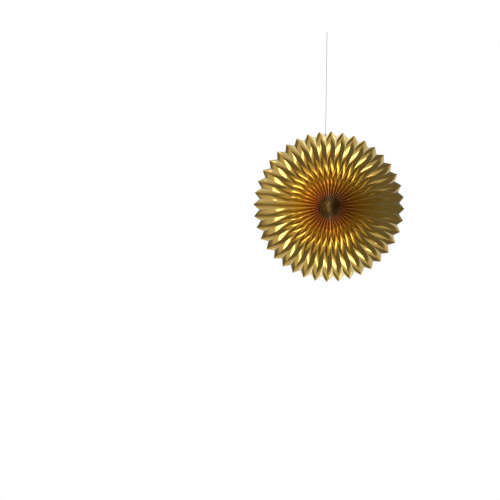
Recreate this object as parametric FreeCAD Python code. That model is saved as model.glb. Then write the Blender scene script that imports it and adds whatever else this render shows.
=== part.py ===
"""Paper fan medallion of gold foil card, hung by a string.

One long strip of card is folded to and fro across the whole width of the fan, pressed together
and tied round its middle with thread. Each half is then opened like a fan, the left half to the
left and the right half to the right, and the two ends of the strip meet above and below, where a
narrow flap on each is stuck to the other. The long edges of the strip were cut in a zigzag first,
so every pleat ends in a point. The string goes through a hole punched in the flaps at the top.

The part stands in the plane of the wall: X to the right, Y to the back, Z up, in millimetres.
The origin is the top end of the string.
"""
import FreeCAD
import Part

import math
import os

# The folded card
fan_diameter = 400.0  # across the points
tooth_depth = 15.0  # from the points to the notches between them
pleat_count = 40  # points round the whole fan
panel_width = 19.3  # from fold to fold
card_thickness = 0.25
press_gap = 0.10  # left between panels where the thread presses them together
flap_width = 12.0
hub_radius = 18.0  # where the panels have swung round and run straight out from the middle
turn_radius = 0.6  # of the outermost fold, as it turns away from the thread
turn_steps = 3  # creases by which each fold takes its turn
panel_steps = 8  # facets along a panel, which is wound between its two folds
last_step = 9.0  # length of the last facet beside a notch

# The thread round the middle
tie_diameter = 0.8
tie_clearance = 0.05
tie_knot_width = 2.6
tie_tail_length = 6.0

# The adhesive strips between the flaps
tape_thickness = 0.3
tape_clearance = 0.02
tape_width = 6.0
tape_inset = 1.5  # from the front folds
tape_start = 60.0  # distances from the middle of the fan
tape_end = 165.0

# The string
string_diameter = 1.2
string_length = 270.0  # from its top end to the knot
string_clearance = 0.05
string_hole_diameter = 3.0
string_hole_depth = 8.5  # below the notch
string_knot_width = 3.6
string_knot_height = 4.6
string_knot_lift = 2.5  # of the knot's lower end above the notch
hang_tilt = 3.6  # degrees by which the fan hangs turned on its string, its middle to the right

# How finely thread and knots are laid out
thread_sides = 10
knot_bands = 6
nearly_whole = 0.99  # share of a half turn's width that its two arcs take

# What follows from the sizes above
tip_radius = fan_diameter / 2
notch_radius = tip_radius - tooth_depth
fold_angle = math.pi / pleat_count
press_pitch = card_thickness + press_gap
middle_fold = pleat_count // 2
tie_half_width = tie_diameter / 2 + tie_clearance
seam_half_gap = tape_thickness / 2 + tape_clearance


def fold_section(half_pitch):
    """The section of a fold where neighbouring folds are half_pitch apart.

    Returns the half width of its blunt outer edge and the half depth of the pleat. The inner
    corner is one thickness of card in from the outer edge. These make the panel as thick as the
    card and as wide as it was cut.
    """
    blunt = card_thickness
    for _ in range(6):
        rise = math.sqrt(panel_width**2 - (half_pitch - blunt) ** 2)
        blunt = card_thickness * (panel_width - half_pitch) / (rise - card_thickness)
    return blunt, (rise + card_thickness) / 2


def pleat_depth(radius):
    """Half the depth of the pleats at a distance from the middle of the fan."""
    return fold_section(radius * fold_angle)[1]


# Where the string goes through the flaps and is knotted, seen from the middle of the fan
hole_back = flap_width / 2 - pleat_depth(notch_radius)
hole_height = notch_radius - string_hole_depth
knot_height = notch_radius + string_knot_lift + string_knot_height / 2
# The middle of the knot, seen from the top end of the string
knot_place = FreeCAD.Vector(0, 0, -string_length - string_knot_height / 2)


def hung(shape):
    """A piece made round the middle of the fan, brought to where it hangs under the knot."""
    shape.translate(FreeCAD.Vector(0, -hole_back, -knot_height))
    shape.rotate(FreeCAD.Vector(), FreeCAD.Vector(0, 1, 0), -hang_tilt)
    shape.translate(knot_place)
    return shape


def is_ridge(fold):
    """Folds at the front are ridges and end in notches, and those at the back end in points."""
    return fold % 2 == 0


def corners(fold, place, sideways, half_pitch):
    """The corner points of one fold, at a place in the plane of the wall.

    sideways points to the next fold. There are the outer edge's two corners and the inner
    corner, and on the first and last fold the two far corners of the flap as well.
    """
    blunt, depth = fold_section(half_pitch)
    facing = -1 if is_ridge(fold) else 1

    def point(aside, back):
        x, z = place[0] + aside * sideways[0], place[1] + aside * sideways[1]
        return FreeCAD.Vector(x, back, z)

    found = {
        "before": point(-blunt, facing * depth),
        "after": point(blunt, facing * depth),
        "inner": point(0, facing * (depth - card_thickness)),
    }
    if fold in (0, pleat_count):
        out = 1 if fold else -1
        inward = card_thickness - blunt
        slope = (2 * depth - card_thickness) / (half_pitch - blunt)
        inner_back = card_thickness - depth + inward * slope
        found["inner"] = point(-out * inward, inner_back)
        found["flap_seam"] = point(out * blunt, flap_width - depth)
        found["flap_back"] = point(-out * inward, flap_width - depth)
    return found


def turn_station(fold, share):
    """The fold on the arc by which it swings away from the stack."""
    step = fold - middle_fold
    centre_height = middle_fold * press_pitch + turn_radius
    radius = centre_height - abs(step) * press_pitch
    angle = step * fold_angle * share
    x = tie_half_width + radius * math.sin(abs(angle))
    z = math.copysign(centre_height - radius * math.cos(angle), step)
    if step == 0:
        x, z = tie_half_width + press_pitch * share, 0
    return corners(fold, (x, z), (-math.sin(angle), math.cos(angle)), press_pitch)


def panel_station(fold, number):
    """The fold on its straight stretch, from the hub (0) to the cut edge (panel_steps).

    Every fold has these at the same distances from the middle, so that a panel is equally steep
    all the way across, and only the last one is at the fold's own end.
    """
    last_radius = notch_radius - last_step
    radius = hub_radius + (last_radius - hub_radius) * number / (panel_steps - 1)
    if number == panel_steps:
        radius = notch_radius if is_ridge(fold) else tip_radius
    angle = (fold - middle_fold) * fold_angle
    half_pitch = radius * fold_angle
    place = (radius * math.cos(angle), radius * math.sin(angle))
    if fold in (0, pleat_count):
        aside = seam_half_gap + fold_section(half_pitch)[0]
        place = (aside, math.copysign(radius, angle))
    return corners(fold, place, (-math.sin(angle), math.cos(angle)), half_pitch)


def fold_stations(fold):
    """The corner points along the right half of one fold, from the middle to the cut edge."""
    height = (fold - middle_fold) * press_pitch
    stack = [corners(fold, (0, height), (0, 1), press_pitch)]
    turn = [turn_station(fold, i / turn_steps) for i in range(turn_steps + 1)]
    panel = [panel_station(fold, i) for i in range(panel_steps + 1)]
    return stack + turn + panel


def corner_loop():
    """The (fold, corner) pairs once round the section of the folded strip."""
    front, back = [], []
    for fold in range(pleat_count + 1):
        outer = [(fold, "before"), (fold, "after")]
        inner = [(fold, "inner")]
        front += outer if is_ridge(fold) else inner
        back += inner if is_ridge(fold) else outer
    last = [(pleat_count, "flap_seam"), (pleat_count, "flap_back")]
    first = [(0, "flap_back"), (0, "flap_seam")]
    return front + last + back[::-1] + first


def flat_face(*points):
    """A flat face with the given corners."""
    return Part.Face(Part.makePolygon([*points, points[0]]))


def ruled_face(start, end, other_start, other_end):
    """The face between two straight edges, which need not lie in one plane."""
    edge = Part.LineSegment(start, end).toShape()
    other_edge = Part.LineSegment(other_start, other_end).toShape()
    return Part.makeRuledSurface(edge, other_edge, 1)


def panel_facets(ridge_start, ridge_end, valley_start, valley_end):
    """The two flat facets of a stretch of panel between a front fold and a back fold."""
    return [
        flat_face(ridge_start, ridge_end, valley_end),
        flat_face(ridge_start, valley_end, valley_start),
    ]


def long_faces(stations):
    """The faces of the right half that run from the middle to the cut edge."""
    loop = corner_loop()
    faces = []
    for (fold, corner), (next_fold, next_corner) in zip(loop, loop[1:] + loop[:1]):
        line = [station[corner] for station in stations[fold]]
        next_line = [station[next_corner] for station in stations[next_fold]]
        for i in range(len(line) - 1):
            stretch = line[i : i + 2]
            next_stretch = next_line[i : i + 2]
            if fold == next_fold or i < turn_steps + 1:
                faces.append(ruled_face(*stretch, *next_stretch))
            elif is_ridge(fold):
                faces += panel_facets(*stretch, *next_stretch)
            else:
                faces += panel_facets(*next_stretch, *stretch)
    return faces


def cut_edge_faces(ends):
    """The faces of the zigzag cut edge, from the corner points at the ends of the folds."""
    faces = [flat_face(end["before"], end["after"], end["inner"]) for end in ends]
    for near, far in zip(ends, ends[1:]):
        faces.append(ruled_face(near["after"], near["inner"], far["inner"], far["before"]))
    for end, outer in ((ends[0], "before"), (ends[-1], "after")):
        faces.append(flat_face(end[outer], end["flap_seam"], end["flap_back"], end["inner"]))
    return faces


def punch():
    """What the hole punch takes out of the two flaps at the top."""
    reach = seam_half_gap + 2 * card_thickness
    start = FreeCAD.Vector(-reach, hole_back, hole_height)
    radius = string_hole_diameter / 2
    return Part.makeCylinder(radius, 2 * reach, start, FreeCAD.Vector(1, 0, 0))


def pleated_fan():
    """The folded card: one strip, so one solid, with both halves opened."""
    stations = [fold_stations(fold) for fold in range(pleat_count + 1)]
    right = long_faces(stations) + cut_edge_faces([line[-1] for line in stations])
    left = [face.mirror(FreeCAD.Vector(), FreeCAD.Vector(1, 0, 0)) for face in right]
    skin = Part.makeCompound(right + left)
    skin.sewShape(1e-5)
    solid = Part.makeSolid(skin.Shells[0])
    if solid.Volume < 0:
        solid.reverse()
    return hung(solid.cut(punch()))


def thread_bar(points, bend_radius, diameter):
    """A length of thread along straight runs in one plane, with an arc at each inner point."""
    edges = []
    start = points[0]
    for before, point, after in zip(points, points[1:], points[2:]):
        into, out = (before - point).normalize(), (after - point).normalize()
        half = into.getAngle(out) / 2
        reach = bend_radius / math.tan(half)
        inward = (into + out).normalize() * (bend_radius / math.sin(half) - bend_radius)
        arc = Part.Arc(point + into * reach, point + inward, point + out * reach)
        edges += [Part.LineSegment(start, point + into * reach).toShape(), arc.toShape()]
        start = point + out * reach
    edges.append(Part.LineSegment(start, points[-1]).toShape())
    along = (points[1] - points[0]).normalize()
    across = (points[2] - points[1]).normalize()
    beside = along.cross(across)
    turns = [2 * math.pi * i / thread_sides for i in range(thread_sides + 1)]
    rim = [across * math.cos(turn) + beside * math.sin(turn) for turn in turns]
    section = Part.makePolygon([points[0] + spoke * (diameter / 2) for spoke in rim])
    return Part.Wire(edges).makePipeShell([section], True, True)


def turned_knot(width, height, end_diameter):
    """A knot as a barrel of plain bands about the Z axis, flat where thread leaves its ends."""
    swell = height / 2 / math.sqrt(1 - (end_diameter / width) ** 2)
    top = math.acos(height / 2 / swell)
    turns = [top + (math.pi - 2 * top) * i / knot_bands for i in range(knot_bands + 1)]
    rim = [(width / 2 * math.sin(turn), swell * math.cos(turn)) for turn in turns]
    outline = [(0, height / 2), *rim, (0, -height / 2)]
    half_section = flat_face(*[FreeCAD.Vector(x, 0, z) for x, z in outline])
    return half_section.revolve(FreeCAD.Vector(), FreeCAD.Vector(0, 0, 1), 360)


def centre_tie():
    """The thread round the pressed folds, with its knot and cut tails at the back."""
    off = tie_clearance + tie_diameter / 2
    blunt, depth = fold_section(press_pitch)
    half_height = middle_fold * press_pitch + blunt + off
    half_depth = depth + off
    start = FreeCAD.Vector(0, half_depth, 0)
    loop = [
        start,
        FreeCAD.Vector(0, half_depth, half_height),
        FreeCAD.Vector(0, -half_depth, half_height),
        FreeCAD.Vector(0, -half_depth, -half_height),
        FreeCAD.Vector(0, half_depth, -half_height),
        start,
    ]
    thread = thread_bar(loop, off, tie_diameter)
    knot = turned_knot(tie_knot_width, tie_knot_width, tie_diameter)
    knot_middle = FreeCAD.Vector(0, depth + tie_clearance + tie_knot_width / 2, 0)
    knot.translate(knot_middle)
    tails = [
        Part.makeCylinder(
            tie_diameter / 2, tie_tail_length, knot_middle, FreeCAD.Vector(aside, 1, -1)
        )
        for aside in (-0.8, 0.6)
    ]
    return hung(thread.multiFuse([knot, *tails]))


def seam_tape(side):
    """The adhesive strip between the flaps, above (1) or below (-1) the middle."""
    front = tape_inset - pleat_depth(tape_end)
    length = tape_end - tape_start
    bottom = tape_start if side > 0 else -tape_end
    corner = FreeCAD.Vector(-tape_thickness / 2, front, bottom)
    return hung(Part.makeBox(tape_thickness, tape_width, length, corner))


def string_hitch():
    """The lower end of the string: its loop through the punched hole, and the knot."""
    aside = seam_half_gap + card_thickness + string_clearance + string_diameter / 2
    turn_height = hole_height + string_hole_diameter / 2
    path = [
        FreeCAD.Vector(-aside, hole_back, knot_height),
        FreeCAD.Vector(-aside, hole_back, turn_height - aside),
        FreeCAD.Vector(aside, hole_back, turn_height - aside),
        FreeCAD.Vector(aside, hole_back, knot_height),
    ]
    loop = hung(thread_bar(path, aside * nearly_whole, string_diameter))
    knot = turned_knot(string_knot_width, string_knot_height, string_diameter)
    knot.translate(knot_place)
    return loop.fuse(knot)


def hanging_string():
    """The straight string, from the top of the knot to its bare upper end."""
    foot = FreeCAD.Vector(0, 0, -string_length)
    return Part.makeCylinder(string_diameter / 2, string_length, foot)


pieces = {
    "pleated_fan": pleated_fan(),
    "centre_tie": centre_tie(),
    "seam_tape_top": seam_tape(1),
    "seam_tape_bottom": seam_tape(-1),
    "string_hitch": string_hitch(),
    "hanging_string": hanging_string(),
}

os.makedirs("parts", exist_ok=True)
for name, shape in pieces.items():
    shape.exportStep(f"parts/{name}.step")
    print(f"{name}: {len(shape.Solids)} solid, {shape.Volume:.1f} mm3, {shape.isValid()}")
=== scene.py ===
"""Looks of a paper fan medallion: gold foil card in radial pleats, tied, taped and hung by a string.

Lengths are metres. X is to the right, Y to the back and Z up, and the origin is the top end of
the string. The fan is worked out round its own middle and then brought to where it hangs.
"""

import math

import bpy
import numpy as np
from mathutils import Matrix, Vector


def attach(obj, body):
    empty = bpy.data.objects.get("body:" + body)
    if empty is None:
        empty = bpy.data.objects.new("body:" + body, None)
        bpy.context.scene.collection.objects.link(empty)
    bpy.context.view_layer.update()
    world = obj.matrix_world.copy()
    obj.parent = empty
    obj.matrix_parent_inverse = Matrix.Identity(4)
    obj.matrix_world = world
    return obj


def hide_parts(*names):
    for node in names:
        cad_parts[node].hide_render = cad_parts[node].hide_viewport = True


bl_info = {
    "name": "Paper Fan Medallion",
    "version": (1, 0, 0),
    "blender": (4, 5, 0),
    "location": "View3D > Sidebar > Paper Fan",
    "description": "Makes a pleated foil card fan on its string, and its studio",
    "category": "Add Mesh",
}

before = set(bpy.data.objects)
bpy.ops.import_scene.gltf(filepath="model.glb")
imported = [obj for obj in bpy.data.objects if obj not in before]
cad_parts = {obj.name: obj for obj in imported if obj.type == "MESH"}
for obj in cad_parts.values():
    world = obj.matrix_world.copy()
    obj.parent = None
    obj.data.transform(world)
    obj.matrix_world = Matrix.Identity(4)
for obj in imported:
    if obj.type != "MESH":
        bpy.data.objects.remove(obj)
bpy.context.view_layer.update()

MM = 0.001

# The photograph's frame, in pixels, and what is read off it
PHOTO_SIDE = 500
FAN_PIXEL = (329.1, 206.55)
FAN_PIXELS_ACROSS = 151.3


def linear(hex_colour):
    """The linear values of an sRGB hex colour, by the sRGB curve."""
    parts = np.array([int(hex_colour[i : i + 2], 16) for i in (1, 3, 5)]) / 255
    curve = np.where(parts <= 0.04045, parts / 12.92, ((parts + 0.055) / 1.055) ** 2.4)
    return tuple(float(v) for v in curve)


def length(name, description, default_mm):
    """A length property whose default is given in millimetres."""
    return bpy.props.FloatProperty(
        name=name, description=description, default=default_mm * MM, min=0.0, unit="LENGTH"
    )


def colour(name, description, hex_colour):
    """A colour property whose default is given as sRGB hex."""
    return bpy.props.FloatVectorProperty(
        name=name,
        description=description,
        default=linear(hex_colour),
        subtype="COLOR",
        size=3,
        min=0.0,
        max=1.0,
    )


class FanCard(bpy.types.PropertyGroup):
    """The folded foil card."""

    across: length("Across the points", "Diameter of the fan over its points", 400)
    tooth: length("Tooth depth", "From the points to the notches between them", 15)
    pleats: bpy.props.IntProperty(name="Pleats", description="Points round the fan", default=40)
    panel: length("Panel width", "From fold to fold", 19.3)
    thickness: length("Card thickness", "Thickness of the foil card", 0.25)
    bow: length("Panel bow", "How far the middle of a panel bulges to the front", 0.3)
    press_gap: length("Press gap", "Left between panels under the thread", 0.10)
    flap: length("Flap width", "Width of the glue flaps at the two ends of the strip", 12)
    hub: length("Hub radius", "Where the folds start to run straight out", 18)
    turn: length("Turn radius", "Bend of the outermost fold beside the thread", 0.6)
    seam_gap: length("Seam gap", "From the seam plane to the back of a flap", 0.17)
    seam_touch: length("Seam touch", "From the seam plane to the front edge of a flap", 0.02)
    foil: colour("Foil", "Colour of the metal face", "#FAE6AD")
    core: colour("Card core", "Colour of the card at its cut edge", "#D9C9A0")


class FanThread(bpy.types.PropertyGroup):
    """The string that the fan hangs by, and the thread round its middle."""

    string: length("String diameter", "Thickness of the hanging string", 1.2)
    hang: length("String length", "From the top end of the string to the knot", 270)
    tilt: bpy.props.FloatProperty(
        name="Tilt",
        description="Turn of the fan on its string",
        default=math.radians(3.6),
        unit="ROTATION",
    )
    hole: length("Hole diameter", "Punched hole in the top flaps", 3)
    hole_depth: length("Hole depth", "From the top notch down to the middle of the hole", 8.5)
    knot_lift: length("Knot lift", "From the top notch up to the knot", 2.5)
    knot_height: length("Knot height", "Height of the knot over the rim", 4.6)
    knot_width: length("Knot width", "Width of the knot over the rim", 3.6)
    tie: length("Tie diameter", "Thickness of the thread round the middle", 0.8)
    tie_knot: length("Tie knot", "Width of the knot of the tie", 2.6)
    clearance: length("Clearance", "Between thread and card", 0.05)
    string_colour: colour("String", "Colour of the hanging string", "#777777")
    tie_colour: colour("Tie", "Colour of the thread round the middle", "#5A3F18")


class Studio(bpy.types.PropertyGroup):
    """The light and the camera."""

    distance: length("Camera distance", "From the camera to the fan", 2500)
    roll: bpy.props.FloatProperty(
        name="Camera roll",
        description="Lean of the string in the picture",
        default=math.radians(0.8),
        unit="ROTATION",
    )
    room: colour("Room", "What the foil sees of the unlit studio on the right", "#67635C")
    screen: colour("Screen", "What the foil sees of the dim screen on the left", "#C2BEB6")
    floor: colour("Floor", "Colour of the floor", "#F2F2F0")
    key_level: bpy.props.FloatProperty(
        name="Softbox level", description="Brightness of the softboxes, 1 is white", default=2.4
    )


def notch_radius(card):
    """From the middle of the fan to the notches between its teeth."""
    return card.across / 2 - card.tooth


def fold_section(half_pitch, card, rounds=6):
    """Section of a fold where neighbouring folds are half_pitch apart, as (blunt, depth).

    blunt is half the width of the blunt outer edge. It is found by a few rounds of
    blunt = thickness * (panel - half_pitch) / (rise - thickness), where rise is the panel's
    extent front to back, and depth, half the pleat's depth, is (rise + thickness) / 2.
    """
    blunt = np.full_like(half_pitch, card.thickness)
    for _ in range(rounds):
        rise = np.sqrt(card.panel**2 - (half_pitch - blunt) ** 2)
        blunt = card.thickness * (card.panel - half_pitch) / (rise - card.thickness)
    return blunt, (rise + card.thickness) / 2


def fold_lines(
    card, thread, end, turn_steps=8, run_steps=6, panel_steps=32, edge_steps=4, rim=8 * MM
):
    """Where every fold would run on the right half, in the plane of the wall, out to radius end.

    Returns place (fold, station, 2), sideways (fold, station, 2) and half_pitch (fold, station).
    A fold runs along X through the pressed stack, turns on an arc about a point above or below
    the stack through an angle of its number times 180 degrees over the pleats, and then runs
    straight out from the middle. Its stations lie at the same radii whatever the end is, but for
    the last few, which share out what is left from rim inside the notches. The outermost folds
    close the seam soon after their turn, by the fourth power of what is left of the way.
    """
    count = card.pleats + 1
    step = np.arange(count)[:, None] - card.pleats // 2
    angle = step * math.pi / card.pleats
    pitch = card.thickness + card.press_gap
    stack_x = thread.tie / 2 + thread.clearance
    centre = (card.pleats // 2) * pitch + card.turn

    share = np.linspace(0, 1, turn_steps + 1)[None, :]
    radius = centre - abs(step) * pitch
    turned = angle * share
    turn_x = stack_x + radius * np.sin(abs(turned))
    turn_z = np.where(step < 0, -1, 1) * (centre - radius * np.cos(turned))
    turn_x = np.where(step == 0, stack_x + pitch * share, turn_x)
    turn_z = np.where(step == 0, 0, turn_z)
    turn = np.stack([turn_x, turn_z], -1)
    turn_side = np.stack([-np.sin(turned), np.cos(turned)], -1)

    steady = notch_radius(card) - rim
    inside = np.linspace(card.hub, steady, panel_steps + 1)
    distance = np.concatenate([inside, np.linspace(steady, end, edge_steps + 1)[1:]])
    distance = np.broadcast_to(distance, (count, len(distance)))
    panel_pitch = distance * math.pi / card.pleats
    panel = np.stack([distance * np.cos(angle), distance * np.sin(angle)], -1)
    seam_x = card.seam_touch + fold_section(panel_pitch, card)[0]
    panel[[0, -1], :, 0] = seam_x[[0, -1]]
    panel[[0, -1], :, 1] = np.array([[-1], [1]]) * distance[[0, -1]]
    side = np.stack([-np.sin(angle), np.cos(angle)], -1)
    panel_side = np.broadcast_to(side, panel.shape)

    run = np.linspace(0, 1, run_steps + 1)[None, 1:-1, None]
    run_out = turn[:, -1:] + (panel[:, :1] - turn[:, -1:]) * run
    closing = (1 - run[0]) ** 4
    outermost = panel[[0, -1], :1, :1] * (1 - closing) + turn[[0, -1], -1:, :1] * closing
    run_out[[0, -1], :, :1] = outermost
    run_side = np.broadcast_to(side, run_out.shape)
    run_pitch = pitch + (panel_pitch[:, :1] - pitch) * run[..., 0]

    stack = np.stack([0 * step, step * pitch], -1).astype(float)
    stack_side = np.broadcast_to(np.array([0.0, 1.0]), stack.shape)
    place = np.concatenate([stack, turn, run_out, panel], 1)
    sideways = np.concatenate([stack_side, turn_side, run_side, panel_side], 1)
    pressed = np.full((count, turn_steps + 2), pitch)
    return place, sideways, np.concatenate([pressed, run_pitch, panel_pitch], 1)


def fold_corners(card, thread, end):
    """Corner points of every fold out to radius end as arrays (fold, station, 3), by name.

    before and after are the two corners of the outer edge, and inner is the corner inside the
    fold. Front folds (even) have their outer edge to the front. flap_seam and flap_back belong to
    the first and last fold, where inner is moved to give the flap the card's thickness. Outside
    the hub the flaps lean together, from the tape between their backs to their front edges.
    """
    place, sideways, half_pitch = fold_lines(card, thread, end)
    blunt, depth = fold_section(half_pitch, card)
    facing = np.where(np.arange(card.pleats + 1) % 2 == 0, -1.0, 1.0)[:, None]

    def points(aside, back):
        flat = place + aside[..., None] * sideways
        return np.stack([flat[..., 0], back, flat[..., 1]], -1)

    inner_aside = np.zeros_like(blunt)
    inner_back = facing * (depth - card.thickness)
    slope = (2 * depth - card.thickness) / (half_pitch - blunt)
    inward = card.thickness - blunt
    for fold, out in ((0, -1), (-1, 1)):
        inner_aside[fold] = -out * inward[fold]
        inner_back[fold] = (card.thickness - depth + inward * slope)[fold]
    ends = np.where(np.arange(card.pleats + 1)[:, None] == 0, -1, 1)
    corners = {
        "before": points(-blunt, facing * depth),
        "after": points(blunt, facing * depth),
        "inner": points(inner_aside, inner_back),
        "flap_seam": points(ends * blunt, card.flap - depth),
        "flap_back": points(-ends * inward, card.flap - depth),
        "outward": facing * blunt,
    }
    apart = card.seam_gap - card.seam_touch
    lean = apart * np.clip(abs(place[..., 1]) / card.hub - 1, 0, 1)
    corners["flap_seam"][..., 0] += lean
    corners["flap_back"][..., 0] += lean
    return corners


def between(start, end, shares):
    """The lines that lie at the given shares of the way from one line to another."""
    return [start + (end - start) * share for share in shares]


def rounded_edge(corners, card, fold, shares=(0.2, 0.5, 0.8), bulge=0.8):
    """The lines along the outer edge of a fold, which bulges as a parabola between its corners.

    It bulges by bulge times half its width, and by twice that in the hub, where it is pressed.
    """
    before, after = corners["before"][fold], corners["after"][fold]
    lines = between(before, after, shares)
    radius = np.linalg.norm(before[:, [0, 2]], axis=1)
    pressed = 1 + np.clip(2 - radius / card.hub, 0, 1)
    for line, share in zip(lines, shares):
        line[:, 1] += corners["outward"][fold] * bulge * pressed * (1 - (2 * share - 1) ** 2)
    return [before, *lines, after]


def panel_lines(ends, card, shares, fold, side):
    """The lines along the panel before a fold, each taken from the corners out to its own end.

    Points at one radius are joined across the panel, and the cut from notch to point only ends
    it. With s from 0 at the front fold to 1 at the back fold, the panel stands off the straight
    line, along its own normal, by bow * 4 s (1 - s), which fades out towards the hub, where the
    panels are pressed together.
    """
    rising = fold % 2 == 1
    start, last = ("after", "inner") if rising == (side == -1) else ("inner", "before")
    lines = []
    for share, level in zip(shares, shares if rising else shares[::-1]):
        first, second = ends[level][start][fold - 1], ends[level][last][fold]
        across = second - first
        level_part = np.linalg.norm(across[:, [0, 2]], axis=1)[:, None]
        normal = across * across[:, 1:2] / level_part
        normal[:, 1] = -level_part[:, 0]
        normal /= np.linalg.norm(normal, axis=1)[:, None]
        off = card.bow * 4 * level * (1 - level)
        radius = np.linalg.norm(first[:, [0, 2]], axis=1)[:, None]
        fade = np.clip((radius - card.hub) / (2 * card.hub), 0, 1)
        lines.append(first + across * share + normal * off * fade)
    return lines


def card_chains(card, thread, shares=(0.006, 0.03, 0.2, 0.4, 0.6, 0.8, 0.97, 0.994)):
    """The lines along the front and the back of the strip, and where each fold's lines start.

    Each chain takes a fold's outer edge where it faces that way and its inner corner where it
    doesn't. A panel is divided across and close to its folds, so that the rounding of a fold
    ends there and the panel between is nearly flat across. The scores are 1 on the lines of the
    folds' outer edges and right beside them, where the foil is crushed, and 0 elsewhere.
    """
    notch = notch_radius(card)
    levels = (0, *shares, 1)
    ends = {level: fold_corners(card, thread, notch + card.tooth * level) for level in levels}
    chains = {-1: [], 1: []}
    spans = {-1: [], 1: []}
    score = {-1: [], 1: []}
    for fold in range(card.pleats + 1):
        facing = -1 if fold % 2 == 0 else 1
        own = ends[fold % 2]
        for side in (-1, 1):
            if fold:
                chains[side] += panel_lines(ends, card, shares, fold, side)
                plain = [0.0] * (len(shares) - 2)
                score[side] += [float(side != facing), *plain, float(side == facing)]
            start = len(chains[side])
            chains[side] += rounded_edge(own, card, fold) if side == facing else [own["inner"][fold]]
            score[side] += [float(side == facing)] * (len(chains[side]) - start)
            spans[side].append((start, len(chains[side]) - 1))
    flaps = [ends[0][name][fold] for fold in (-1, 0) for name in ("flap_seam", "flap_back")]
    return chains, spans, flaps, score


def cut_edge_faces(spans, pleats, last, first_flap):
    """Faces of the zigzag cut edge, as lists of line numbers that all run one way round.

    last gives the line number of the back chain's first line, from which it runs downwards.
    """
    front, back = spans[-1], [(last - a, last - b) for a, b in spans[1]]
    faces = []
    for fold in range(pleats + 1):
        outer, inner = (front, back) if fold % 2 == 0 else (back, front)
        low, high = sorted(outer[fold])
        faces.append([*range(low, high + 1), inner[fold][0]])
        if fold < pleats:
            lines = range(front[fold][1], front[fold + 1][0])
            for i, line in enumerate(lines):
                other = back[fold][1] - i
                faces.append([line, line + 1, other - 1, other])
    end = front[pleats][1]
    faces.append([end, end + 1, end + 2, back[pleats][0]])
    faces.append([first_flap + 1, 0, back[0][0], first_flap])
    return faces


def hole_place(card, thread):
    """The middle of the punched hole, seen from the middle of the fan.

    The string passes there. The mesh of the flaps is left whole.
    """
    notch = notch_radius(card)
    depth = float(fold_section(np.array([notch * math.pi / card.pleats]), card)[1][0])
    return np.array([0, card.flap / 2 - depth, notch - thread.hole_depth])


def hang(points, card, thread):
    """Points given round the middle of the fan, brought to where it hangs under its knot.

    They are moved so that the knot is at the origin, turned about Y by the tilt, and moved down
    by the length of the string.
    """
    knot_up = notch_radius(card) + thread.knot_lift + thread.knot_height / 2
    knot = np.array([0, hole_place(card, thread)[1], knot_up])
    moved = np.asarray(points) - knot
    cos, sin = math.cos(thread.tilt), math.sin(thread.tilt)
    x = moved[..., 0] * cos - moved[..., 2] * sin
    z = moved[..., 0] * sin + moved[..., 2] * cos
    return np.stack([x, moved[..., 1], z - thread.hang - thread.knot_height / 2], -1)


def make_mesh(name, points, faces, material_numbers=None, sharp_degrees=40):
    """A mesh object with outward faces, smooth but for edges sharper than sharp_degrees."""
    mesh = bpy.data.meshes.new(name)
    mesh.from_pydata(np.asarray(points).reshape(-1, 3), [], faces)
    if material_numbers is not None:
        mesh.polygons.foreach_set("material_index", np.asarray(material_numbers, np.int32))
    mesh.polygons.foreach_set("use_smooth", np.ones(len(mesh.polygons), bool))
    mesh.set_sharp_from_angle(angle=math.radians(sharp_degrees))
    mesh.update()
    if enclosed_volume(mesh) < 0:
        mesh.flip_normals()
    piece = bpy.data.objects.new(name, mesh)
    bpy.context.scene.collection.objects.link(piece)
    return piece


def mesh_points(mesh):
    """Where a mesh's vertices are, one to a row."""
    points = np.empty(len(mesh.vertices) * 3)
    mesh.vertices.foreach_get("co", points)
    return points.reshape(-1, 3)


def enclosed_volume(mesh):
    """Signed volume of a closed mesh: the sum of its triangles' a . (b x c) / 6."""
    mesh.calc_loop_triangles()
    corners = np.empty(len(mesh.loop_triangles) * 3, np.int32)
    mesh.loop_triangles.foreach_get("vertices", corners)
    a, b, c = mesh_points(mesh)[corners.reshape(-1, 3)].transpose(1, 0, 2)
    return float((a * np.cross(b, c)).sum() / 6)


def grid_faces(rows, columns, closed=True):
    """Quads of a grid of points, row by row, whose columns close into a ring if closed."""
    row, column = np.meshgrid(
        np.arange(rows - 1), np.arange(columns if closed else columns - 1), indexing="ij"
    )
    after = (column + 1) % columns
    quads = [
        row * columns + column,
        row * columns + after,
        (row + 1) * columns + after,
        (row + 1) * columns + column,
    ]
    return np.stack(quads, -1).reshape(-1, 4).tolist()


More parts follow.
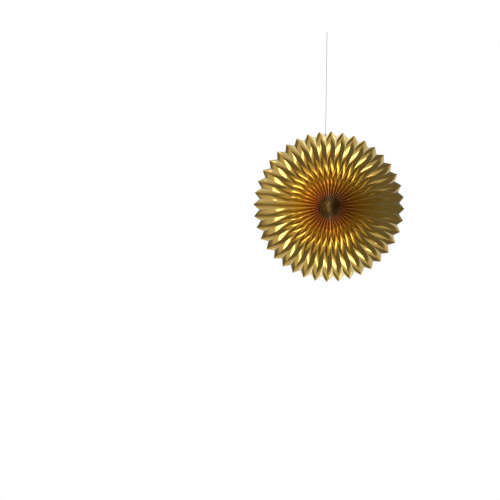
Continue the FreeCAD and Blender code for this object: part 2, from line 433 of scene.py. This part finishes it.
def card_mesh(card, thread):
    """The folded strip as a closed ring of lines, carried from the left edge to the right.

    The ring is the front chain, the last flap, the back chain backwards and the first flap. The
    left half is the right half with X reversed. Card core shows on the two cut edges. The score
    attribute fades out in the hub, where the folds are pressed and not scored, and grows weaker
    towards the points, where the folds are least closed: with r from 0 at the middle to 1 at the
    points it is 1.3 - r there, and 1 at most.
    """
    chains, spans, flaps, score = card_chains(card, thread)
    last_flap, first_flap = flaps[:2], flaps[:1:-1]
    ring = chains[-1] + last_flap + chains[1][::-1] + first_flap
    right = np.stack(ring, 1)
    left = right[:0:-1] * np.array([-1, 1, 1])
    points = np.concatenate([left, right])
    rows, columns = points.shape[:2]
    faces = grid_faces(rows, columns)
    back_start = len(chains[-1]) + len(last_flap) + len(chains[1]) - 1
    cut = cut_edge_faces(spans, card.pleats, back_start, columns - 2)
    foil_count = len(faces)
    faces += [face[::-1] for face in cut]
    faces += [[(rows - 1) * columns + i for i in face] for face in cut]
    numbers = np.zeros(len(faces), np.int32)
    numbers[foil_count:] = 1
    piece = make_mesh("gold_fan", hang(points, card, thread), faces, numbers)
    plain_flap = [0.0] * len(last_flap)
    worn = np.array(score[-1] + plain_flap + score[1][::-1] + plain_flap, np.float32)
    from_middle = np.linalg.norm(points[..., [0, 2]], axis=-1)
    outside_hub = np.clip(from_middle / card.hub - 1, 0, 1)
    crushed = outside_hub * np.clip(1.3 - 2 * from_middle / card.across, 0, 1)
    layer = piece.data.attributes.new("score", "FLOAT", "POINT")
    layer.data.foreach_set("value", (worn * crushed).astype(np.float32).ravel())
    return piece


def distance_along(path):
    """The distance travelled at each point of a path."""
    steps = np.linalg.norm(np.diff(path, axis=0), axis=1)
    return np.concatenate([[0], np.cumsum(steps)])


def along_path(path, closed=False):
    """Unit tangents and two steady cross directions at each point of a path.

    The first cross direction is carried along by taking off its share along the tangent.
    """
    if closed:
        tangents = np.roll(path, -1, 0) - np.roll(path, 1, 0)
    else:
        tangents = np.gradient(path, axis=0)
    tangents /= np.linalg.norm(tangents, axis=1)[:, None]
    start = np.array([0.0, 1.0, 0.0])
    if abs(tangents[0] @ start) > 0.9:
        start = np.array([1.0, 0.0, 0.0])
    cross = np.empty_like(path)
    for i, tangent in enumerate(tangents):
        start = start - tangent * (start @ tangent)
        start /= np.linalg.norm(start)
        cross[i] = start
    return tangents, cross, np.cross(tangents, cross)


def spun_thread(name, path, diameter, lay_length, plies=3, sides=18, groove=0.28, closed=False):
    """A twisted thread: a ring of radius r(a) = R (1 - g + g |cos(plies (a - w) / 2)|) on a path.

    g is the groove's share of the radius R. w grows by a full turn in each lay_length, so that
    the grooves between the plies wind round the thread. An open thread has closed ends, and a
    closed one takes the lay length nearest to the given one that meets itself.
    """
    travelled = distance_along(path)
    if closed:
        whole = travelled[-1] + np.linalg.norm(path[0] - path[-1])
        lay_length = whole * plies / max(1, round(whole * plies / lay_length))
    _, cross, other = along_path(path, closed)
    turns = np.linspace(0, 2 * math.pi, sides, endpoint=False)[None, :]
    wind = 2 * math.pi * travelled[:, None] / lay_length
    ply = abs(np.cos(plies * (turns - wind) / 2))
    radius = diameter / 2 * (1 - groove + groove * ply)
    rings = (
        path[:, None]
        + (radius * np.cos(turns))[..., None] * cross[:, None]
        + (radius * np.sin(turns))[..., None] * other[:, None]
    )
    rows = len(path)
    faces = grid_faces(rows, sides)
    if closed:
        seam = (rows - 1) * sides
        faces += [[seam + i, seam + (i + 1) % sides, (i + 1) % sides, i] for i in range(sides)]
    else:
        faces += [list(range(sides))[::-1], [(rows - 1) * sides + i for i in range(sides)]]
    return make_mesh(name, rings, faces, sharp_degrees=70)


def even_points(path, spacing):
    """Points at an even spacing along a path, joined by straight lines."""
    travelled = distance_along(path)
    count = max(2, int(travelled[-1] / spacing) + 1)
    at = np.linspace(0, travelled[-1], count)
    return np.stack([np.interp(at, travelled, path[:, i]) for i in range(3)], -1)


def add_node(tree, kind, settings=None):
    """Adds a shader node with its settings and links.

    A setting whose name is a number or is capitalised belongs to a socket, which takes a value or
    is linked to the output given for it. Any other setting is a property of the node.
    """
    node = tree.nodes.new(kind)
    for key, value in (settings or {}).items():
        if isinstance(key, str) and key[0].islower():
            setattr(node, key, value)
        elif isinstance(value, bpy.types.NodeSocket):
            tree.links.new(value, node.inputs[key])
        else:
            node.inputs[key].default_value = value
    return node


def object_noise(tree, grain, detail):
    """A noise on Object coordinates whose grains are about grain metres across."""
    place = add_node(tree, "ShaderNodeTexCoord").outputs["Object"]
    settings = {"Vector": place, "Scale": 1 / grain, "Detail": detail}
    return add_node(tree, "ShaderNodeTexNoise", settings).outputs["Fac"]


def mottle(tree, shader, noise, one, other):
    """Mixes two linear colours by a noise and gives them to the shader as its base colour."""
    settings = {"data_type": "RGBA", "Factor": noise, 6: (*one, 1), 7: (*other, 1)}
    mixed = add_node(tree, "ShaderNodeMix", settings)
    tree.links.new(mixed.outputs[2], shader.inputs["Base Color"])


def darker(rgb, share):
    """A linear colour at a share of its level."""
    return tuple(v * share for v in rgb)


def new_material(name):
    """An empty node material with its Principled shader, as (material, tree, shader)."""
    material = bpy.data.materials.new(name)
    material.use_nodes = True
    tree = material.node_tree
    return material, tree, tree.nodes["Principled BSDF"]


def gold_foil(card):
    """Aluminium foil lacquered gold, laminated on card and calendered.

    It mirrors its surroundings with a satin blur. The card under it leaves a faint orange peel,
    about 4 mm across, with a finer paper tooth about 0.5 mm across, drawn coarser than it is.
    Along the score lines of the folds the foil is crushed and duller.
    """
    material, tree, shader = new_material("gold_lacquered_foil_on_card")
    shader.inputs["Metallic"].default_value = 1.0
    peel = object_noise(tree, 4 * MM, 2.0)
    tooth = object_noise(tree, 0.5 * MM, 1.0)
    mottle(tree, shader, object_noise(tree, 60 * MM, 2.0), card.foil, darker(card.foil, 0.93))
    rough = add_node(
        tree,
        "ShaderNodeMapRange",
        {"Value": peel, "From Min": 0.3, "From Max": 0.7, "To Min": 0.07, "To Max": 0.12},
    )
    score = add_node(tree, "ShaderNodeAttribute", {"attribute_name": "score"})
    crushed = add_node(
        tree,
        "ShaderNodeMix",
        {"data_type": "FLOAT", "Factor": score.outputs["Fac"], 2: rough.outputs["Result"], 3: 0.4},
    )
    tree.links.new(crushed.outputs[0], shader.inputs["Roughness"])
    coarse = add_node(
        tree, "ShaderNodeBump", {"Strength": 0.25, "Distance": 0.04 * MM, "Height": peel}
    )
    fine = add_node(
        tree,
        "ShaderNodeBump",
        {
            "Strength": 0.15,
            "Distance": 0.01 * MM,
            "Height": tooth,
            "Normal": coarse.outputs["Normal"],
        },
    )
    tree.links.new(fine.outputs["Normal"], shader.inputs["Normal"])
    return material


def card_core(card):
    """Uncoated card seen at a die-cut edge: matt, with faint fibres about 0.3 mm long."""
    material, tree, shader = new_material("uncoated_card_cut_edge")
    shader.inputs["Roughness"].default_value = 0.85
    fibre = object_noise(tree, 0.3 * MM, 3.0)
    mottle(tree, shader, fibre, card.core, darker(card.core, 0.8))
    return material


def spun_fibre(name, rgb):
    """Spun cotton: matt with a soft sheen, mottled by fibres about 0.2 mm apart."""
    material, tree, shader = new_material(name)
    shader.inputs["Roughness"].default_value = 0.9
    shader.inputs["Sheen Weight"].default_value = 0.3
    fibre = object_noise(tree, 0.2 * MM, 2.0)
    mottle(tree, shader, fibre, rgb, darker(rgb, 0.7))
    bump = add_node(
        tree, "ShaderNodeBump", {"Strength": 0.5, "Distance": 0.1 * MM, "Height": fibre}
    )
    tree.links.new(bump.outputs["Normal"], shader.inputs["Normal"])
    return material


def tissue_tape():
    """Double-sided tissue tape: pale and satin, with a tissue mottle about 1.5 mm across."""
    material, tree, shader = new_material("double_sided_tissue_tape")
    shader.inputs["Roughness"].default_value = 0.45
    tissue = object_noise(tree, 1.5 * MM, 3.0)
    mottle(tree, shader, tissue, linear("#EFEDE4"), linear("#D8D4C6"))
    return material


def finish_piece(piece, materials, node=None):
    """Gives a piece its materials and its body, and lets it stand for a CAD node."""
    for material in materials:
        piece.data.materials.append(material)
    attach(piece, "root")
    if node:
        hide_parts(node)
    return piece


class FAN_OT_card(bpy.types.Operator):
    """Makes the folded foil card"""

    bl_idname = "paper_fan.card"
    bl_label = "Folded Card"

    def execute(self, context):
        card, thread = context.scene.fan_card, context.scene.fan_thread
        piece = card_mesh(card, thread)
        finish_piece(piece, [gold_foil(card), card_core(card)], "pleated_fan")
        return {"FINISHED"}


# How threads are laid and knotted: the length of one turn of their plies, the turns of a knot,
# and the width that the tie's knot takes, in thread widths
STRING_LAY = 4.5 * MM
TIE_LAY = 2.4 * MM
KNOT_WRAPS = 3
TIE_KNOT_SPREAD = 2.6


class FAN_OT_tie(bpy.types.Operator):
    """Makes the thread round the pressed folds, with its knot and tails"""

    bl_idname = "paper_fan.tie"
    bl_label = "Centre Tie"

    def execute(self, context):
        card, thread = context.scene.fan_card, context.scene.fan_thread
        fibre = spun_fibre("waxed_cotton_thread", thread.tie_colour)
        for piece in tie_pieces(card, thread):
            finish_piece(piece, [fibre], "centre_tie")
        return {"FINISHED"}


def tie_pieces(card, thread):
    """The thread's loop as a rounded rectangle, its knot as a few wraps of a helix, and its tails.

    The rectangle's corners are quarter circles, so that the thread keeps one clearance all round
    the pressed folds. A tail leaves the knot on a straight line, and droops from it by the square
    of the way.
    """
    off = thread.clearance + thread.tie / 2
    pitch = card.thickness + card.press_gap
    blunt, depth = (float(v[0]) for v in fold_section(np.array([pitch]), card))
    high, deep = (card.pleats // 2) * pitch + blunt, depth
    quarter = np.linspace(0, math.pi / 2, 8)
    loop = []
    for turn, (back, up) in enumerate(((1, 1), (-1, 1), (-1, -1), (1, -1))):
        angle = quarter + turn * math.pi / 2
        corner = [0 * angle, back * deep + off * np.cos(angle), up * high + off * np.sin(angle)]
        loop.append(np.stack(corner, -1))
    loop = np.concatenate([*loop, loop[0][:1]])
    loop = even_points(loop, 0.2 * MM)[:-1]
    loop = hang(loop, card, thread)
    band = spun_thread("tie_thread", loop, thread.tie, TIE_LAY, closed=True, sides=12)
    knot_back = depth + thread.clearance + thread.tie_knot / 2
    wrap = np.linspace(0, 1, 160)
    spin = wrap * KNOT_WRAPS * 2 * math.pi
    coil = (thread.tie_knot - thread.tie) / 2
    wraps = np.stack(
        [
            (wrap - 0.5) * thread.tie * TIE_KNOT_SPREAD,
            knot_back + coil * np.cos(spin),
            coil * np.sin(spin),
        ],
        -1,
    )
    # Where a tail would end straight, seen from the knot, and how far its end then droops
    tails = []
    reach = np.linspace(0, 1, 24)[:, None]
    for start, aside in ((0, -1), (-1, 1)):
        lean = np.array([aside * 3.2, 2.2, -4.0 + aside]) * MM
        droop = np.array([0, 0, -1.2]) * MM
        tails.append(wraps[start] + lean * reach + droop * reach**2)
    path = np.concatenate([tails[0][::-1], wraps[1:-1], tails[1]])
    path = hang(even_points(path, 0.15 * MM), card, thread)
    return [band, spun_thread("tie_knot", path, thread.tie, TIE_LAY, sides=12)]


class FAN_OT_tapes(bpy.types.Operator):
    """Gives the adhesive strips between the flaps their finish"""

    bl_idname = "paper_fan.tapes"
    bl_label = "Seam Tapes"

    def execute(self, context):
        tape = tissue_tape()
        for node in ("seam_tape_top", "seam_tape_bottom"):
            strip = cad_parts[node]
            strip.data.materials.clear()
            strip.data.materials.append(tape)
        return {"FINISHED"}


def hitch_path(card, thread):
    """The lower end of the string: up from its tail, wrapped round, through the flaps and back.

    It is a tail that bends by the square of the way, a few wraps of a helix about the knot's axis,
    a leg down beside one flap, a half circle at the hole's place, and a leg up to the knot's top.
    """
    half_knot = thread.knot_height / 2
    coil = (thread.knot_width - thread.string) / 2
    wrap = np.linspace(0, 1, 200)
    spin = wrap * KNOT_WRAPS * 2 * math.pi + math.pi
    rise = (wrap - 0.5) * (thread.knot_height - thread.string)
    middle = np.array([0, 0, -thread.hang - half_knot])
    wraps = middle + np.stack([coil * np.cos(spin), coil * np.sin(spin), -rise], -1)
    tail_reach = np.linspace(1, 0, 30)[:, None]
    tail = wraps[0] + np.array([-4.5, -1.0, 1.5]) * MM * tail_reach
    tail -= np.array([0, 0, 1.6]) * MM * tail_reach**2
    aside = card.seam_gap + card.thickness + thread.clearance + thread.string / 2
    hole = hole_place(card, thread)
    turn_height = hole[2] + thread.hole / 2
    leg_top = notch_radius(card) + thread.knot_lift
    sweep = np.linspace(math.pi, 2 * math.pi, 40)
    loop = np.stack(
        [aside * np.cos(sweep), 0 * sweep + hole[1], turn_height + aside * np.sin(sweep)], -1
    )
    legs = [
        np.array([[-aside, hole[1], leg_top]]),
        loop,
        np.array([[aside, hole[1], leg_top]]),
    ]
    legs = hang(np.concatenate(legs), card, thread)
    core = np.array([[0, 0, -thread.hang]])
    return np.concatenate([tail, wraps, legs, core])


class FAN_OT_string(bpy.types.Operator):
    """Makes the hanging string with its knot and the loop through the flaps"""

    bl_idname = "paper_fan.string"
    bl_label = "String"

    def execute(self, context):
        card, thread = context.scene.fan_card, context.scene.fan_thread
        fibre = spun_fibre("spun_cotton_string", thread.string_colour)
        route = string_route(thread)
        string = spun_thread("string", even_points(route, 0.45 * MM), thread.string, STRING_LAY)
        finish_piece(string, [fibre], "hanging_string")
        path = even_points(hitch_path(card, thread), 0.25 * MM)
        hitch = spun_thread("string_knot", path, thread.string, STRING_LAY)
        finish_piece(hitch, [fibre], "string_hitch")
        return {"FINISHED"}


def string_route(thread):
    """Points along the string, read from a NURBS line from the knot straight up to its end."""
    data = bpy.data.curves.new("string_route", "CURVE")
    data.dimensions = "3D"
    spline = data.splines.new("NURBS")
    spline.points.add(3)
    heights = [-thread.hang, -thread.hang * 2 / 3, -thread.hang / 3, 0]
    for point, height in zip(spline.points, heights):
        point.co = (0, 0, height, 1)
    spline.order_u = 3
    spline.use_endpoint_u = True
    spline.resolution_u = 12
    line = bpy.data.objects.new("string_route", data)
    mesh = bpy.data.meshes.new_from_object(line)
    points = mesh_points(mesh)
    bpy.data.objects.remove(line)
    bpy.data.meshes.remove(mesh)
    bpy.data.curves.remove(data)
    return points


def studio_world(studio):
    """A studio whose backdrop is white, and whose front is a dim screen beside a darker room.

    The backdrop shows to the camera everywhere, and to glossy and transmission rays beside and
    behind the fan, where their direction's Y rises from -0.5 to -0.15. Above and below, where the
    direction's Z is 0.2 to 0.55 off level, it gives way to the ceiling and the floor, which are
    as dim as the front. The front goes from the screen to the room where the direction's X goes
    from -0.12 to 0.1.
    """
    world = bpy.data.worlds.new("studio")
    world.use_nodes = True
    bpy.context.scene.world = world
    tree = world.node_tree
    direction = add_node(tree, "ShaderNodeTexCoord").outputs["Generated"]
    parts = add_node(tree, "ShaderNodeSeparateXYZ", {"Vector": direction}).outputs
    rays = add_node(tree, "ShaderNodeLightPath").outputs
    smooth = {"interpolation_type": "SMOOTHSTEP"}
    front = add_node(
        tree,
        "ShaderNodeMapRange",
        {**smooth, "Value": parts["X"], "From Min": -0.12, "From Max": 0.1},
    )
    beside = add_node(
        tree,
        "ShaderNodeMapRange",
        {**smooth, "Value": parts["Y"], "From Min": -0.5, "From Max": -0.15},
    )
    steep = add_node(tree, "ShaderNodeMath", {"operation": "ABSOLUTE", 0: parts["Z"]}).outputs[0]
    level = add_node(
        tree,
        "ShaderNodeMapRange",
        {**smooth, "Value": steep, "From Min": 0.2, "From Max": 0.55, "To Min": 1.0, "To Max": 0.0},
    )
    sides = add_node(
        tree,
        "ShaderNodeMath",
        {"operation": "MULTIPLY", 0: beside.outputs["Result"], 1: level.outputs["Result"]},
    )
    mirrored = add_node(
        tree,
        "ShaderNodeMath",
        {"operation": "MAXIMUM", 0: rays["Is Glossy Ray"], 1: rays["Is Transmission Ray"]},
    )
    backdrop = add_node(
        tree,
        "ShaderNodeMath",
        {"operation": "MULTIPLY", 0: mirrored.outputs[0], 1: sides.outputs[0]},
    )
    white = add_node(
        tree,
        "ShaderNodeMath",
        {"operation": "MAXIMUM", 0: backdrop.outputs[0], 1: rays["Is Camera Ray"]},
    )
    studio_front = add_node(
        tree,
        "ShaderNodeMix",
        {
            "data_type": "RGBA",
            "Factor": front.outputs["Result"],
            6: (*studio.screen, 1),
            7: (*studio.room, 1),
        },
    )
    mixed = add_node(
        tree,
        "ShaderNodeMix",
        {
            "data_type": "RGBA",
            "Factor": white.outputs[0],
            6: studio_front.outputs[2],
            7: (1, 1, 1, 1),
        },
    )
    tree.links.new(mixed.outputs[2], tree.nodes["Background"].inputs["Color"])


def softbox(name, place, target, width, height, level, glossy=True):
    """A rectangular lamp that faces target and looks level bright.

    Its power is level * pi * width * height.
    """
    data = bpy.data.lights.new(name, "AREA")
    data.shape = "RECTANGLE"
    data.size, data.size_y = width, height
    data.energy = level * math.pi * width * height
    lamp = bpy.data.objects.new(name, data)
    bpy.context.scene.collection.objects.link(lamp)
    lamp.location = place
    towards = Vector(target) - Vector(place)
    lamp.rotation_euler = towards.to_track_quat("-Z", "Y").to_euler()
    lamp.visible_glossy = glossy
    return lamp


def pale_floor(studio, height=-1.9, left=-2.0, right=2.0, front=-2.4, back=1.5):
    """A plain pale floor below the fan, of matt paint, which shows no highlight.

    It is low enough to lie below the photograph's view.
    """
    corners = [(left, front), (right, front), (right, back), (left, back)]
    corners = [(*corner, height) for corner in corners]
    mesh = bpy.data.meshes.new("studio_floor")
    mesh.from_pydata(corners, [], [(0, 1, 2, 3)])
    floor = bpy.data.objects.new("studio_floor", mesh)
    bpy.context.scene.collection.objects.link(floor)
    material, _, shader = new_material("painted_studio_floor")
    shader.inputs["Base Color"].default_value = (*studio.floor, 1)
    shader.inputs["Roughness"].default_value = 0.9
    mesh.materials.append(material)
    floor.visible_glossy = False


def photo_camera(studio, middle):
    """A camera square on to the fan, set so that the fan lies where it does in the photograph.

    One pixel is the fan's width over its width in pixels. The fan's offset from the middle of the
    picture, turned back by the roll, gives the camera's offset from the fan.
    """
    card = bpy.context.scene.fan_card
    pixel = card.across / FAN_PIXELS_ACROSS
    right = (FAN_PIXEL[0] - PHOTO_SIDE / 2) * pixel
    up = (PHOTO_SIDE / 2 - FAN_PIXEL[1]) * pixel
    cos, sin = math.cos(studio.roll), math.sin(studio.roll)
    data = bpy.data.cameras.new("photo_camera")
    data.angle = 2 * math.atan(PHOTO_SIDE * pixel / 2 / studio.distance)
    camera = bpy.data.objects.new("photo_camera", data)
    bpy.context.scene.collection.objects.link(camera)
    x = middle[0] - (right * cos - up * sin)
    z = middle[2] - (right * sin + up * cos)
    camera.location = (x, middle[1] - studio.distance, z)
    camera.rotation_mode = "XYZ"
    camera.rotation_euler = (math.pi / 2, -studio.roll, 0)
    bpy.context.scene.camera = camera


# Softboxes as seen from the fan, in degrees: how far to the side and up, their width and height,
# and their share of the level. They all stand at one distance from it, in metres
SOFTBOX_DISTANCE = 2.4
SOFTBOXES = (
    ("softbox_middle", -39, 1, 14, 22, 0.65),
    ("softbox_upper", -30, 32, 20, 40, 1.05),
    ("softbox_lower", -30, -23, 20, 26, 1.05),
)

# Fill lamps, which the foil doesn't mirror: where they stand from the fan and their side, in
# metres, and their level
FILL_LAMPS = (("fill_front", (0.8, -2.6, 1.4)), ("fill_back", (-1.0, 2.6, 1.2)))
FILL_SIDE = 2.0
FILL_LEVEL = 0.8


class FAN_OT_stage(bpy.types.Operator):
    """Sets up the camera, the lamps, the floor and the surroundings"""

    bl_idname = "paper_fan.stage"
    bl_label = "Stage"

    def execute(self, context):
        studio = context.scene.fan_studio
        card, thread = context.scene.fan_card, context.scene.fan_thread
        middle = hang(np.zeros(3), card, thread)
        photo_camera(studio, middle)
        studio_world(studio)
        reach = SOFTBOX_DISTANCE
        for name, aside, up, width, height, share in SOFTBOXES:
            aside, up = math.radians(aside), math.radians(up)
            ahead = np.array([math.sin(aside), -math.cos(aside), math.tan(up)]) * math.cos(up)
            size = [2 * reach * math.tan(math.radians(angle / 2)) for angle in (width, height)]
            softbox(name, middle + reach * ahead, middle, *size, studio.key_level * share)
        for name, place in FILL_LAMPS:
            place = middle + np.array(place)
            softbox(name, place, middle, FILL_SIDE, FILL_SIDE, FILL_LEVEL, glossy=False)
        pale_floor(studio)
        context.scene.view_settings.view_transform = "Standard"
        context.scene.cycles.max_bounces = 16
        context.scene.cycles.glossy_bounces = 14
        return {"FINISHED"}


class FAN_PT_panel(bpy.types.Panel):
    """The fan's sizes, colours and makers in the sidebar"""

    bl_idname = "FAN_PT_panel"
    bl_label = "Paper Fan"
    bl_space_type = "VIEW_3D"
    bl_region_type = "UI"
    bl_category = "Paper Fan"

    def draw(self, context):
        for group in (context.scene.fan_card, context.scene.fan_thread, context.scene.fan_studio):
            for name in group.bl_rna.properties.keys():
                if name not in ("rna_type", "name"):
                    self.layout.prop(group, name)
        for maker in MAKERS:
            self.layout.operator(maker.bl_idname)


GROUPS = {"fan_card": FanCard, "fan_thread": FanThread, "fan_studio": Studio}
MAKERS = (FAN_OT_stage, FAN_OT_string, FAN_OT_card, FAN_OT_tie, FAN_OT_tapes)


def register():
    for name, group in GROUPS.items():
        bpy.utils.register_class(group)
        setattr(bpy.types.Scene, name, bpy.props.PointerProperty(type=group))
    for maker in (*MAKERS, FAN_PT_panel):
        bpy.utils.register_class(maker)


def unregister():
    for maker in reversed((*MAKERS, FAN_PT_panel)):
        bpy.utils.unregister_class(maker)
    for name, group in reversed(GROUPS.items()):
        delattr(bpy.types.Scene, name)
        bpy.utils.unregister_class(group)


def main():
    """Makes the whole scene."""
    register()
    bpy.ops.paper_fan.stage()
    bpy.ops.paper_fan.string()
    bpy.ops.paper_fan.card()
    bpy.ops.paper_fan.tie()
    bpy.ops.paper_fan.tapes()


if __name__ == "__main__":
    main()
